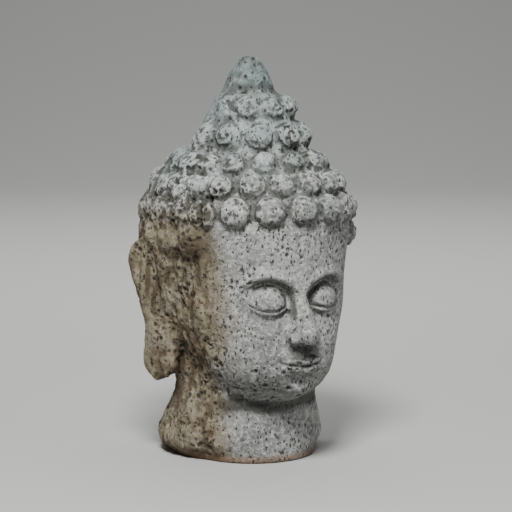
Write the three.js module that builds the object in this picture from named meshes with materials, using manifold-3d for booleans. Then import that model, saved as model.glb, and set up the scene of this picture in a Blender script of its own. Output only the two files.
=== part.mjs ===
// Stone head of a buddha, cut off flat below the neck: one solid casting.
// Millimetres, +Z up, the face looks along -Y, the origin is the centre of the flat foot.
//
// The head is a signed field: ellipsoids for skull, face and jaw, a flared neck, a nose, long ears
// and a cone of hair, blended softly into each other, with the carving of the face added as a
// relief on the unrolled face and snail curls set out in rows. Blanks turned on a lathe are carved
// until they lie on that field, and then joined.

import * as THREE from 'three';
import { mergeVertices } from 'three/addons/utils/BufferGeometryUtils.js';
import Module from 'manifold-3d';

const wasm = await Module();
wasm.setup();

// ---- Driving dimensions ------------------------------------------------------------------

const HEIGHT = 406;
const EYE = 35; // one eye's width: the face is five of them across
const THIRD = 63; // chin to nose base, nose base to brow, brow to hairline
const CHIN_Z = 62;
const NOSE_BASE_Z = CHIN_Z + THIRD;
const BROW_Z = CHIN_Z + 2 * THIRD;
const HAIRLINE_Z = CHIN_Z + 3 * THIRD - 22;
const EYE_Z = BROW_Z - 0.3 * THIRD;
const MOUTH_Z = NOSE_BASE_Z - THIRD / 3;
const CREASE_Z = NOSE_BASE_Z - THIRD / 2;

// The face is unrolled about an upright axis for its relief.
const FACE_AXIS_Y = -EYE;
const FACE_R = 90;

const SKULL = { centre: [0, -13, 236], radii: [101, 115, 90] };
const FACE = { centre: [0, -35, 166], radii: [2.5 * EYE, 90, 104] };
const JAW = { centre: [0, -55, CHIN_Z + 42], radii: [1.8 * EYE, 73, 46] };
const SKULL_BLEND = 24;
const JAW_BLEND = 20;

const NECK = { radius: 65.5, flare: 20, flareTop: 86, bevel: 15, bevelZ: 20, lean: 18, top: 181 };

const USHNISHA = {
  y: -27,
  top: 369,
  z: [296, 312, 331, 344, 356, 370],
  front: [64, 57, 49, 42, 37, 32],
  back: [78, 67, 55, 48.5, 42, 36],
};
const FINIAL = {
  y: -18,
  z: [346, 368, 378, 390, 399, 404, 407],
  radius: [32, 27, 24, 18.5, 12.5, 8.5, 5],
  lean: 0.08,
  leanZ: 366,
};

const EAR = {
  centre: [101, 2, 156],
  turn: THREE.MathUtils.degToRad(28),
  topRadius: 28,
  lobeRadius: 25,
  waist: 4,
  bend: 4,
  spineTop: 43,
  spineLength: 101,
  lobeForward: 5,
  thick: 8,
  lobeThick: 4,
  lobeInward: 15,
  shell: { at: [1, 30], radii: [19, 40, 10], above: 2 },
  hollow: { at: [-6, 10], radii: [9, 21, 10], above: -2 },
  lobe: { at: [-8, -43], radii: [18, 26, 9], above: 4 },
  middle: 0.4, // along the spine
  rootDepth: 43, // how far the ear runs into the head
  columns: 22,
};

const HAIR_CENTRE = [0, -16, 221];
const CURLS_ROUND = 20; // curls in a whole row: 18 degrees each
const CURL_SINK = 1.5;
const CURL_HEIGHT = 0.8; // of its radius, where it is crisp

// ---- Field tools -------------------------------------------------------------------------

const { clamp, lerp, smoothstep } = THREE.MathUtils;

const ramp = (x, from, to) => (from < to ? smoothstep(x, from, to) : 1 - smoothstep(x, to, from));
const hump = (t, width) => Math.exp(-((t / width) ** 2));

function smoothMin(a, b, k) {
  const h = clamp(0.5 + (0.5 * (b - a)) / k, 0, 1);
  return lerp(b, a, h) - k * h * (1 - h);
}

const smoothMax = (a, b, k) => -smoothMin(-a, -b, k);

function along(value, from, to) {
  if (value <= from[0]) return to[0];
  for (let i = 1; i < from.length; i++) {
    if (value <= from[i]) {
      return lerp(to[i - 1], to[i], (value - from[i - 1]) / (from[i] - from[i - 1]));
    }
  }
  return to[to.length - 1];
}

function ellipsoid(x, y, z, centre, radii) {
  const a = x - centre[0];
  const b = y - centre[1];
  const c = z - centre[2];
  const near = Math.hypot(a / radii[0], b / radii[1], c / radii[2]);
  const slope = Math.hypot(a / radii[0] ** 2, b / radii[1] ** 2, c / radii[2] ** 2);
  return (near * (near - 1)) / Math.max(slope, 1e-9);
}

function taperedRod(x, y, z, from, to, fromRadius, toRadius) {
  const p = new THREE.Vector3(x, y, z);
  const start = new THREE.Vector3(...from);
  const line = new THREE.Vector3(...to).sub(start);
  const t = clamp(p.clone().sub(start).dot(line) / line.lengthSq(), 0, 1);
  return p.distanceTo(start.addScaledVector(line, t)) - lerp(fromRadius, toRadius, t);
}

// ---- The face's relief, in millimetres over the plain head ---------------------------------

function browAndSocket(v, z) {
  const under = 1.14 * EYE - Math.hypot(v - 1.03 * EYE, z - EYE_Z + 17);
  const over = ramp(z - EYE_Z + 4, -8, 8);
  const fade = 1 - 0.55 * ramp(v, 1.2 * EYE, 1.9 * EYE);
  const ridge = 2.2 * hump(under + 2.2, 4.5) * over * fade;
  const aside = ramp(v, 2.15 * EYE, 1.3 * EYE);
  const socket = 6 * ramp(under, -1.5, 7) * ramp(z - EYE_Z + 8, -30, 8) * aside;
  const innerCorner = 4 * hump(Math.hypot(v - 0.42 * EYE, (z - EYE_Z - 3) / 1.5), 8);
  return ridge - socket - innerCorner;
}

// A lid drawn down over the eye to a ledge at the lashes, with a narrow lid under it.
function closedEye(v, z) {
  const w = (v - EYE) / 22;
  const up = z - EYE_Z + 3.5 - 1.2 * w;
  const out = Math.hypot(w, up / (up > 0 ? 20 : 14));
  const ball = 8 * clamp(1 - out ** 2, 0, 1);
  const lash = up + 5 - 6 * w ** 2;
  const inside = ramp(Math.abs(w), 1.05, 0.75);
  const lid = 1.8 * inside * ramp(lash, -0.6, 0.6) * ramp(lash, 18, 4);
  const slit = 1.4 * inside * hump(lash + 1.2, 1.2);
  const lower = 1.2 * inside * hump(lash + 4, 1.8);
  const fold = 0.8 * hump(20 * (out - 0.98), 1.8) * ramp(up, 2, 9);
  return ball + lid - slit + lower - fold;
}

function muzzle(v, z) {
  const swell = 4 * hump(v, 25) * hump(z - MOUTH_Z - 3, 15);
  const philtrum = 2 * hump(v, 3.2) * hump(z - MOUTH_Z - 15, 6);
  return swell - philtrum;
}

function lips(v, z) {
  const half = 0.68 * EYE;
  const w = clamp(v / half, 0, 1);
  const wLow = clamp(v / (0.86 * half), 0, 1);
  const mouth = MOUTH_Z + 1.5 + 2.2 * w ** 2 - 1.3 * hump(v, 5);
  const top = mouth + 10 * (1 - w ** 1.7) ** 0.8 - 1.5 * hump(v, 3.5);
  const bottom = mouth - 10.5 * (1 - wLow ** 2) ** 0.8;
  const over = clamp((z - mouth) / Math.max(top - mouth, 0.4), 0, 1);
  const under = clamp((mouth - z) / Math.max(mouth - bottom, 0.4), 0, 1);
  const upper = 6 * over ** 0.5 * (1 - over ** 2) ** 0.9 * (1 - w ** 2) ** 0.6;
  const lower = 6.2 * under ** 0.5 * (1 - under ** 2) ** 0.9 * (1 - wLow ** 2) ** 0.6;
  const parting = 2 * hump(z - mouth, 1.2) * ramp(v, half + 3, half - 3);
  const dimple = 2.2 * hump(Math.hypot(v - half - 1, z - MOUTH_Z - 4), 5);
  const crease = 2.8 * hump(v, 15) * hump(z - CREASE_Z + 3, 4.5);
  return upper + lower - parting - dimple - crease;
}

function chinAndCheeks(v, z) {
  const chin = 6.5 * hump(v, 17) * hump(z - CHIN_Z - 14, 11);
  const cheek = 3.5 * hump(v - 1.3 * EYE, 22) * hump(z - NOSE_BASE_Z - 10, 22);
  return chin + cheek;
}

function faceRelief(x, y, z) {
  const v = Math.abs(FACE_R * Math.atan2(x, FACE_AXIS_Y - y));
  const front = ramp(y, -10, -45);
  return front * (browAndSocket(v, z) + closedEye(v, z) + muzzle(v, z) + lips(v, z) + chinAndCheeks(v, z));
}

// ---- The main forms ------------------------------------------------------------------------

function headForm(x, y, z) {
  const skull = ellipsoid(x, y, z, SKULL.centre, SKULL.radii);
  const face = ellipsoid(x, y, z, FACE.centre, FACE.radii);
  const jaw = ellipsoid(x, y, z, JAW.centre, JAW.radii);
  return smoothMin(smoothMin(skull, face, SKULL_BLEND), jaw, JAW_BLEND);
}

function neckForm(x, y, z) {
  const bevel = NECK.bevel * clamp(1 - z / NECK.bevelZ, 0, 1) ** 2;
  const radius = NECK.radius + NECK.flare * (1 - ramp(z, 12, NECK.flareTop)) - bevel;
  const axisY = -NECK.lean * ramp(z, 11, 96);
  return smoothMax(0.93 * (Math.hypot(x, y - axisY) - radius), z - NECK.top, 10);
}

function noseForm(x, y, z) {
  const side = Math.abs(x);
  const base = NOSE_BASE_Z;
  const bridge = taperedRod(side, y, z, [0, -112, base + 62], [0, -135, base + 15], 6, 8);
  const flank = taperedRod(side, y, z, [0, -104, base + 55], [0, -119, base + 12], 8, 14.5);
  const tip = ellipsoid(side, y, z, [0, -136.5, base + 10.5], [9.5, 10.5, 9]);
  const wing = ellipsoid(side, y, z, [10.5, -125.5, base + 8], [7.2, 11, 7]);
  const whole = smoothMin(smoothMin(smoothMin(bridge, flank, 8), tip, 6), wing, 5);
  return smoothMax(whole, base + 1 - z, 1.5);
}

function ushnishaForm(x, y, z) {
  const r = Math.hypot(x, y - USHNISHA.y);
  const behind = ramp((y - USHNISHA.y) / Math.max(r, 1), -0.35, 0.45);
  const wall = lerp(along(z, USHNISHA.z, USHNISHA.front), along(z, USHNISHA.z, USHNISHA.back), behind);
  const cone = smoothMax(0.85 * (r - wall), z - USHNISHA.top, 9);
  const knobY = FINIAL.y - FINIAL.lean * (z - FINIAL.leanZ);
  const knobRadius = along(z, FINIAL.z, FINIAL.radius);
  const knob = 0.85 * (Math.hypot(x, 0.95 * (y - knobY)) - knobRadius);
  return smoothMin(cone, smoothMax(knob, z - HEIGHT, 3), 4);
}

// What the curls sit on.
function bareHead(x, y, z) {
  return smoothMin(smoothMin(headForm(x, y, z), neckForm(x, y, z), 9), ushnishaForm(x, y, z), 6);
}

// The whole head without ears and curls.
function carvedHead(x, y, z) {
  const plain = smoothMin(headForm(x, y, z), neckForm(x, y, z), 9) - faceRelief(x, y, z);
  return smoothMin(smoothMin(plain, noseForm(x, y, z), 4), ushnishaForm(x, y, z), 6);
}

// ---- Carving -------------------------------------------------------------------------------

// The outermost point of a form along a ray, as a distance from the ray's start.
function reach(form, start, way, far = 190) {
  const at = (t) => form(start.x + way.x * t, start.y + way.y * t, start.z + way.z * t);
  let outer = far;
  while (outer > 0 && at(outer) > 0) outer -= 1;
  let inner = outer;
  outer += 1;
  for (let i = 0; i < 12; i++) {
    const middle = (inner + outer) / 2;
    if (at(middle) > 0) outer = middle;
    else inner = middle;
  }
  return inner;
}

function normalOf(form, p, e = 0.6) {
  return new THREE.Vector3(
    form(p.x + e, p.y, p.z) - form(p.x - e, p.y, p.z),
    form(p.x, p.y + e, p.z) - form(p.x, p.y - e, p.z),
    form(p.x, p.y, p.z + e) - form(p.x, p.y, p.z - e),
  ).normalize();
}

// A blank turned about +Z: rows go from the pole below to the pole above, and carve(column, row)
// says where each of its vertices ends up. A pole is one vertex, whatever its column.
function carvedBlank(columns, rows, carve) {
  const profile = [];
  for (let row = 0; row <= rows; row++) {
    const pole = row === 0 || row === rows;
    profile.push(new THREE.Vector2(pole ? 0 : 1, row));
  }
  const blank = new THREE.LatheGeometry(profile, columns);
  const position = blank.attributes.position;
  for (let column = 0; column <= columns; column++) {
    for (let row = 0; row <= rows; row++) {
      const p = carve(column % columns, row);
      position.setXYZ(column * (rows + 1) + row, p.x, p.y, p.z);
    }
  }
  return blank;
}

function toSolid(geometry) {
  const bare = geometry.clone();
  bare.deleteAttribute('normal');
  bare.deleteAttribute('uv');
  const merged = mergeVertices(bare, 1e-3);
  const triangles = [];
  const index = merged.index.array;
  for (let i = 0; i < index.length; i += 3) {
    const [a, b, c] = [index[i], index[i + 1], index[i + 2]];
    if (a !== b && b !== c && c !== a) triangles.push(a, b, c);
  }
  const mesh = new wasm.Mesh({
    numProp: 3,
    vertProperties: new Float32Array(merged.attributes.position.array),
    triVerts: new Uint32Array(triangles),
  });
  return new wasm.Manifold(mesh);
}

function toGeometry(solid) {
  const mesh = solid.getMesh();
  const geometry = new THREE.BufferGeometry();
  geometry.setAttribute('position', new THREE.BufferAttribute(mesh.vertProperties, 3));
  geometry.setIndex(new THREE.BufferAttribute(mesh.triVerts, 1));
  geometry.computeVertexNormals();
  return geometry;
}

// ---- Curls ---------------------------------------------------------------------------------------

// Rows round the skull: latitude over the hair's centre, how many degrees lower it is at the back,
// the shift in curls, the first azimuth either side of the face, and the radius.
const ROWS = [
  { latitude: 46.5, drop: -2, shift: 0.25, first: 0, radius: 13.2, count: 16 },
  { latitude: 32.5, drop: 0, shift: 0.5, first: 0, radius: 13.8, count: CURLS_ROUND },
  { latitude: 18.5, drop: 2, shift: 0, first: 0, radius: 15.5, count: CURLS_ROUND },
  { latitude: 3, drop: 0, shift: 0.5, first: 60, radius: 14.8, count: CURLS_ROUND },
  { latitude: -12, drop: 0, shift: 0, first: 85, radius: 14.6, count: CURLS_ROUND },
  { latitude: -27, drop: 0, shift: 0.5, first: 110, radius: 14.2, count: CURLS_ROUND },
  { latitude: -41, drop: 0, shift: 0, first: 120, radius: 13.6, count: CURLS_ROUND },
];
// Tiers on the front of the cone, ten curls to a whole turn.
const TIERS = [
  { z: 327, azimuths: [-94.5, -58.5, -22.5, 13.5, 49.5, 85.5], radius: 13.5 },
  { z: 355, azimuths: [-72, -36, 0, 36, 72], radius: 12.5 },
];

// How far the weather has flattened the curls at an azimuth, 0 crisp to 1 gone.
const wear = (azimuth) => 0.9 * ramp(azimuth, -48, -72) + 0.35 * ramp(azimuth, 60, 130);

const { degToRad, euclideanModulo } = THREE.MathUtils;

function wayTo(azimuth, latitude) {
  const level = Math.cos(degToRad(latitude));
  const [across, ahead] = [Math.sin(degToRad(azimuth)), -Math.cos(degToRad(azimuth))];
  return new THREE.Vector3(across * level, ahead * level, Math.sin(degToRad(latitude)));
}

function curlAt(azimuth, radius, start, way) {
  const point = start.clone().addScaledVector(way, reach(bareHead, start, way));
  return {
    point,
    normal: normalOf(bareHead, point),
    radius,
    height: radius * (CURL_HEIGHT - 0.25 * wear(azimuth)),
    blend: 3.5 + 5 * wear(azimuth),
  };
}

function skullCurls() {
  const start = new THREE.Vector3(...HAIR_CENTRE);
  const curls = [];
  for (const row of ROWS) {
    for (let i = 0; i < row.count; i++) {
      const azimuth = euclideanModulo(((i + row.shift) * 360) / row.count + 180, 360) - 180;
      if (Math.abs(azimuth) < row.first) continue;
      const latitude = row.latitude - (row.drop * (1 - Math.cos(degToRad(azimuth)))) / 2;
      curls.push(curlAt(azimuth, row.radius, start, wayTo(azimuth, latitude)));
    }
  }
  return curls;
}

function tierCurls() {
  return TIERS.flatMap(({ z, azimuths, radius }) => {
    const start = new THREE.Vector3(0, USHNISHA.y, z);
    return azimuths.map((azimuth) => curlAt(azimuth, radius, start, wayTo(azimuth, 0)));
  });
}

// The squashed ball of one curl, sunk a little into the head.
function curlForm({ point, normal, radius, height }, x, y, z) {
  const [a, b, c] = [x - point.x, y - point.y, z - point.z];
  const rise = a * normal.x + b * normal.y + c * normal.z;
  const spread = Math.sqrt(Math.max(a * a + b * b + c * c - rise * rise, 0));
  return ellipsoid(spread, 0, rise + CURL_SINK, [0, 0, 0], [radius, radius, height]);
}

// A form with curls added to it.
const withCurls = (form, curls) => (x, y, z) => {
  let distance = form(x, y, z);
  for (const curl of curls) {
    const far = Math.hypot(x - curl.point.x, y - curl.point.y, z - curl.point.z);
    if (far < 2 * curl.radius) distance = smoothMin(distance, curlForm(curl, x, y, z), curl.blend);
  }
  return distance;
};

// Whether a point of the surface lies in the hair.
const CURL_COVER = 1.2;
const isCovered = (curls, place) =>
  curls.some(({ point, radius }) => place.distanceTo(point) < CURL_COVER * radius);

// ---- Skull, face and neck --------------------------------------------------------------------

const AXIS_Y = -18; // the upright axis that skull and face are carved about
const SKULL_COLUMNS = 24;
const FACE_SWEEP = degToRad(68);
const FACE_COLUMNS = 30;
const MASK_TOP = HAIRLINE_Z + 10;
const COLUMNS_PER_CURL = 4;
const HAIR_COLUMNS = COLUMNS_PER_CURL * CURLS_ROUND;
const TIER_COLUMNS = 40;
const OVERLAP = 2.5; // how far one blank runs under the next where that one shows
const CROWN_Z = USHNISHA.z[0] + 8;

const curlsOnSkull = skullCurls();
const curlsOnCone = tierCurls();

function evenly(from, to, count) {
  return Array.from({ length: count }, (_, i) => lerp(from, to, i / count));
}

const carveTo = (form, start, way, sink = 0) =>
  start.clone().addScaledVector(way, reach(form, start, way) - sink);

// Skull, jaw and neck all round, in wide columns, sunk where face or hair cover it.
function skullSolid() {
  const heights = [
    ...[0, 7, NECK.bevelZ, 34, 50],
    ...evenly(CHIN_Z - 1, HAIRLINE_Z, 8),
    ...evenly(HAIRLINE_Z, CROWN_Z, 3),
  ];
  const rows = heights.length + 1;
  const blank = carvedBlank(SKULL_COLUMNS, rows, (column, row) => {
    if (row === 0) return new THREE.Vector3(0, 0, 0);
    if (row === rows) return new THREE.Vector3(0, AXIS_Y, CROWN_Z - 10);
    const azimuth = ((column + 0.5) / SKULL_COLUMNS) * 360;
    const start = new THREE.Vector3(0, AXIS_Y, heights[row - 1]);
    const way = wayTo(azimuth, 0);
    const point = carveTo(carvedHead, start, way);
    const inFace = way.y < -Math.cos(FACE_SWEEP) && start.z > CHIN_Z - 6 && start.z < MASK_TOP;
    if (inFace) return carveTo(carvedHead, start, way, 1);
    if (isCovered(curlsOnSkull, point)) return carveTo(carvedHead, start, way, 2 * OVERLAP);
    return point;
  });
  return toSolid(blank);
}

// The face in close columns. Its rows crowd where the forms turn: chin, lips, nose, lids, brow.
function faceSolid() {
  const heights = [
    ...evenly(CHIN_Z - 4, CREASE_Z, 6),
    ...evenly(CREASE_Z, MOUTH_Z + 1, 3),
    ...evenly(MOUTH_Z + 1, NOSE_BASE_Z, 4),
    ...evenly(NOSE_BASE_Z, NOSE_BASE_Z + 14, 3),
    ...evenly(NOSE_BASE_Z + 14, EYE_Z - 8, 4),
    ...evenly(EYE_Z - 8, BROW_Z + 4, 6),
    ...evenly(BROW_Z + 4, MASK_TOP, 5),
    MASK_TOP,
  ];
  const columns = FACE_COLUMNS + 2;
  const rows = heights.length + 1;
  const blank = carvedBlank(columns, rows, (column, row) => {
    const z = heights[clamp(row - 1, 0, heights.length - 1)];
    const start = new THREE.Vector3(0, AXIS_Y, z);
    if (row === 0 || row === rows) return start.setY(AXIS_Y - 30);
    if (column > FACE_COLUMNS) return start.setY(AXIS_Y - 10);
    const angle = lerp(-FACE_SWEEP, FACE_SWEEP, column / FACE_COLUMNS);
    return carveTo(carvedHead, start, wayTo(THREE.MathUtils.radToDeg(angle), 0));
  });
  return toSolid(blank);
}

// The cap of curls: four columns and four rows of the blank to each curl.
function hairSolid() {
  const start = new THREE.Vector3(...HAIR_CENTRE);
  const centres = ROWS.map((row) => row.latitude).reverse();
  const between = centres.slice(1).flatMap((latitude, i) => evenly(centres[i], latitude, 4));
  const latitudes = [-50, -45.5, ...between, 46.5, 50, 54, 62];
  const rows = latitudes.length + 1;
  const hair = withCurls(bareHead, curlsOnSkull);
  const blank = carvedBlank(HAIR_COLUMNS, rows, (column, row) => {
    if (row === 0) return start.clone().setZ(start.z - 60);
    if (row === rows) return start.clone().setZ(start.z + 60);
    const way = wayTo((column / HAIR_COLUMNS) * 360, latitudes[row - 1]);
    const point = carveTo(hair, start, way);
    const shows = isCovered(curlsOnSkull, point) || latitudes[row - 1] > 30;
    return shows ? point : carveTo(bareHead, start, way, OVERLAP);
  });
  return toSolid(blank);
}

// The cone of hair on the crown with its two tiers of curls, and the blunt knob that ends it.
function ushnishaSolid() {
  const heights = [
    USHNISHA.z[0] + 2,
    ...evenly(USHNISHA.z[0] + 16, 343, 4),
    ...evenly(343, 369, 4),
    ...[371, 380, 389, 397, 403],
  ];
  const rows = heights.length + 1;
  const cone = withCurls(ushnishaForm, curlsOnCone);
  const blank = carvedBlank(TIER_COLUMNS, rows, (column, row) => {
    if (row === 0) return new THREE.Vector3(0, USHNISHA.y, USHNISHA.z[0] - 20);
    if (row === rows) return new THREE.Vector3(0, USHNISHA.y, HEIGHT);
    const start = new THREE.Vector3(0, USHNISHA.y, heights[row - 1]);
    return carveTo(cone, start, wayTo((column / TIER_COLUMNS) * 360, 0));
  });
  return toSolid(blank);
}

// ---- Ears --------------------------------------------------------------------------------------

// a runs backwards along the ear, b up, c outwards; s runs down its spine from 0 to 1.
const earWaist = (s) => EAR.waist * Math.sin(Math.PI * s) ** 2;
const earRadius = (s) => lerp(EAR.topRadius, EAR.lobeRadius, ramp(s, 0, 1)) - earWaist(s);
const earThickness = (s) => EAR.thick + EAR.lobeThick * ramp(s, 0.5, 1);
const spineAt = (s) => [
  -EAR.bend * Math.sin(Math.PI * s) - EAR.lobeForward * s,
  EAR.spineTop - EAR.spineLength * s,
];

// How far an ellipsoid on the ear's outer face reaches past it, or -Infinity beside it.
function earBulge(a, b, { at, radii, above }) {
  const level = 1 - ((a - at[0]) / radii[0]) ** 2 - ((b - at[1]) / radii[1]) ** 2;
  return level > 0 ? radii[2] * Math.sqrt(level) - above : -Infinity;
}

// The outer face of the ear over its plane: a rolled rim, a shell with a hollow in it, and a lobe.
function earFace(a, b, s, inset) {
  const rim = earThickness(s) - 5 * ramp(inset, 7, 0) ** 2;
  const carved = Math.max(earBulge(a, b, EAR.shell), earBulge(a, b, EAR.hollow), 0);
  return rim - carved + Math.max(earBulge(a, b, EAR.lobe), 0);
}

function earPoint(side, a, b, c, s) {
  const inward = EAR.lobeInward * ramp(s, 0.15, 1);
  const out = c - inward;
  const x = EAR.centre[0] + a * Math.sin(EAR.turn) + out * Math.cos(EAR.turn);
  const y = EAR.centre[1] + a * Math.cos(EAR.turn) - out * Math.sin(EAR.turn);
  return new THREE.Vector3(side * x, y, EAR.centre[2] + b);
}

// Column i goes once round the ear's edge: over the top, down the back, round the lobe, up again.
function earColumn(i) {
  const quarter = EAR.columns / 4;
  const turn = (i / EAR.columns) * 2 * Math.PI;
  const lap = i / quarter;
  const drop = [0, lap - 1, 1, 4 - lap][Math.floor(lap)];
  const direction = [turn * 2, Math.PI, 2 * turn - Math.PI, 0][Math.floor(lap)];
  return { s: clamp(drop, 0, 1), direction };
}

function earSolid(side) {
  // Rows as [inset from the edge, depth behind the plane or null on the outer face].
  const rows = [[19, 38], [9.5, 19], [0, 0], [2, null], [7, null], [13, null], [19, null]];
  const [middleA, middleB] = spineAt(EAR.middle);
  const middleFace = earFace(middleA, middleB, EAR.middle, EAR.lobeRadius);
  const blank = carvedBlank(EAR.columns, rows.length + 1, (turned, row) => {
    const column = side > 0 ? turned : (EAR.columns - turned) % EAR.columns;
    if (row === 0) return earPoint(side, middleA, middleB, -EAR.rootDepth, EAR.middle);
    if (row === rows.length + 1) return earPoint(side, middleA, middleB, middleFace, EAR.middle);
    const { s, direction } = earColumn(column);
    const [inset, depth] = rows[row - 1];
    const radius = Math.max(earRadius(s) - inset, 0.5);
    const [spineA, spineB] = spineAt(s);
    const a = spineA + radius * Math.cos(direction);
    const b = spineB + radius * Math.sin(direction);
    return earPoint(side, a, b, depth === null ? earFace(a, b, s, inset) : -depth, s);
  });
  return toSolid(blank);
}

// ---- One casting -------------------------------------------------------------------------------

const sandstoneGrey = new THREE.MeshStandardMaterial({ color: 0x9a978c, roughness: 0.92, metalness: 0 });

const pieces = [skullSolid(), faceSolid(), hairSolid(), ushnishaSolid(), earSolid(-1), earSolid(1)];
const casting = pieces.reduce((whole, piece) => whole.add(piece));

const buddhaHead = new THREE.Mesh(toGeometry(casting), sandstoneGrey);
buddhaHead.name = 'buddha_head';

const part = new THREE.Group();
part.name = 'stone_buddha_head';
part.add(buddhaHead);

export default part;
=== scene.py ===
"""Looks of the weathered stone head: its carved and pitted surface, its stone, the floor and the light.

The head is sculpted as a signed field in sculptor's millimetres, HEIGHT of them from foot to tip,
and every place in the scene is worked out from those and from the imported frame's box.
"""

import bpy
import numpy as np
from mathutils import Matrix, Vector, kdtree


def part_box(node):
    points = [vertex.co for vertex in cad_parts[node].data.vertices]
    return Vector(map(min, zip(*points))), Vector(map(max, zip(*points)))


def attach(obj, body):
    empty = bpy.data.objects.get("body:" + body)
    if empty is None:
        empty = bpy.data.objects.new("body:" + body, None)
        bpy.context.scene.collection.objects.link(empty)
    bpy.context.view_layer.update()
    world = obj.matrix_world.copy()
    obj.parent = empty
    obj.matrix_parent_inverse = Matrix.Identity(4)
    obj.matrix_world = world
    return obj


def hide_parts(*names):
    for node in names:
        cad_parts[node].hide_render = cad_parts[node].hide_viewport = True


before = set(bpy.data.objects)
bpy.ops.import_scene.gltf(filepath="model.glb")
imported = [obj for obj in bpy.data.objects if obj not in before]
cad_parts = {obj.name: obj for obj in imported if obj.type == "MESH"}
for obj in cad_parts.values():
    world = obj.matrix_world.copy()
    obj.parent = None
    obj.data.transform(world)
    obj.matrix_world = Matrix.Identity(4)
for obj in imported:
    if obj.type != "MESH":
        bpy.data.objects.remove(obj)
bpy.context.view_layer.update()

NODE = "buddha_head"
low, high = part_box(NODE)

HEIGHT = 406.0
UNIT = (high.z - low.z) / HEIGHT  # metres in one sculptor's millimetre

# ---- The sculpture's sizes, the same as the solid's ----------------------------------------------

EYE = 35.0  # one eye's width: the face is five of them across
THIRD = 63.0  # chin to nose base, nose base to brow, brow to hairline
CHIN_Z = 62.0
NOSE_BASE_Z = CHIN_Z + THIRD
BROW_Z = CHIN_Z + 2 * THIRD
EYE_Z = BROW_Z - 0.3 * THIRD
MOUTH_Z = NOSE_BASE_Z - THIRD / 3
CREASE_Z = NOSE_BASE_Z - THIRD / 2
FACE_AXIS_Y = -EYE
FACE_R = 90.0

SKULL = ((0, -13, 236), (101, 115, 90))
FACE = ((0, -35, 166), (2.5 * EYE, 90, 104))
JAW = ((0, -55, CHIN_Z + 42), (1.8 * EYE, 73, 46))
SKULL_BLEND = 24
JAW_BLEND = 20
NECK_BLEND = 9

NECK = {"radius": 65.5, "flare": 20, "flare_top": 86, "bevel": 15, "bevel_z": 20, "lean": 18, "top": 181}

USHNISHA = {
    "y": -27.0,
    "top": 369,
    "z": (296, 312, 331, 344, 356, 370),
    "front": (64, 57, 49, 42, 37, 32),
    "back": (78, 67, 55, 48.5, 42, 36),
}
FINIAL = {
    "y": -18.0,
    "z": (346, 368, 378, 390, 399, 404, 407),
    "radius": (32, 27, 24, 18.5, 12.5, 8.5, 5),
    "lean": 0.08,
    "lean_z": 366,
}

# In the ear's own frame: backwards along it, up, and outwards.
EAR = {
    "centre": (101.0, 2.0, 156.0),
    "turn": np.radians(28),
    "top_radius": 28,
    "lobe_radius": 25,
    "waist": 4,
    "bend": 4,
    "spine_top": 43,
    "spine_length": 101,
    "lobe_forward": 5,
    "thick": 8,
    "lobe_thick": 4,
    "lobe_inward": 15,
    "root_depth": 40,
    "shell": ((1, 30, 2), (19, 40, 10)),
    "ridge": ((5, 56, 2), (9, 2, 3), 4.5, 4),
    "hollow": ((-6, 10, -2), (9, 21, 10)),
    "lobe": ((-8, -43, -4), (18, 26, 9)),
}

HAIR_CENTRE = (0.0, -16.0, 221.0)
CURLS_ROUND = 20  # curls in a whole row
CURL_SINK = 1.5
CURL_HEIGHT = 0.8  # of its radius, where it is crisp
SWIRL_DEPTH = 1.1
SWIRL_PITCH = 0.46  # of the curl's radius
# Rows round the skull: latitude, drop at the back, shift in curls, first azimuth, radius, count.
CURL_ROWS = (
    (46.5, -2, 0.25, 0, 13.2, 16),
    (32.5, 0, 0.5, 0, 13.8, CURLS_ROUND),
    (18.5, 2, 0.0, 0, 15.5, CURLS_ROUND),
    (3.0, 0, 0.5, 60, 14.8, CURLS_ROUND),
    (-12.0, 0, 0.0, 85, 14.6, CURLS_ROUND),
    (-27.0, 0, 0.5, 110, 14.2, CURLS_ROUND),
    (-41.0, 0, 0.0, 120, 13.6, CURLS_ROUND),
)
# Tiers on the front of the crown's cone: height, azimuths, radius.
CURL_TIERS = (
    (327.0, (-94.5, -58.5, -22.5, 13.5, 49.5, 85.5), 13.5),
    (355.0, (-72, -36, 0, 36, 72), 12.5),
)

# Azimuths and heights between which something sets in, from where it starts to where it is full.
# The weather has been hardest on the head's own right side, and the earth's stain lies there too.
WORN_FROM_FRONT, WORN_FROM_BACK, WORN_BELOW = (-40, -62), (-165, -130), (330, 290)
EARTH_FROM_FRONT, EARTH_FROM_BACK, EARTH_BELOW = (-38, -58), (-190, -120), (285, 225)
EARTH_BEHIND = (95, 130)
CROWN_ABOVE, KNOB_ABOVE, STAIN_ABOVE = (245, 330), (350, 380), (362, 384)
FOOT_BELOW = (11, 3)
HAIR_ABOVE = (236, 256)
FOLD_AZIMUTH = -66
TEMPLE, TEMPLE_SPREAD = (-60, 222), (15, 26)
# Height and spread of the painted shadow band on the neck under the jaw.
JAW_SHADOW_Z, JAW_SHADOW_SPREAD = 58, 9

PIT_COUNT = 1500
PIT_RADIUS, PIT_RADIUS_SPREAD = 1.4, 1.3
PIT_DEPTH = 0.8  # of its radius

# Scars on the worn side: azimuth, height, half width, half height and depth.
SCARS = (
    (-53, 268, 5, 4, 6),
    (-55, 250, 2.2, 11, 6),
    (-52, 108, 3, 3, 2.5),
    (-48, 103, 2.2, 2.5, 2.2),
    (-46, 72, 1.4, 6, 2),
    (-34, 79, 7, 1.6, 3),
    (-40, 66, 8, 4.5, 2.5),
    (-24, 62, 13, 3, 1.5),
)

# ---- The finished mesh ---------------------------------------------------------------------------

CELL = 1.35
REFINE = 4  # coarse cells are this many fine ones wide
MARGIN = 10.0
TRIANGLES = 195000
VIEW_AZIMUTH = -30  # degrees round to the head's own right
VIEW_ELEVATION = 7
VIEW_CENTRE = Vector((7, -22, 201.5))
VIEW_DISTANCE = 2000
LENS = 137
random = np.random.default_rng(7)


# ---- Field tools ---------------------------------------------------------------------------------


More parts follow.
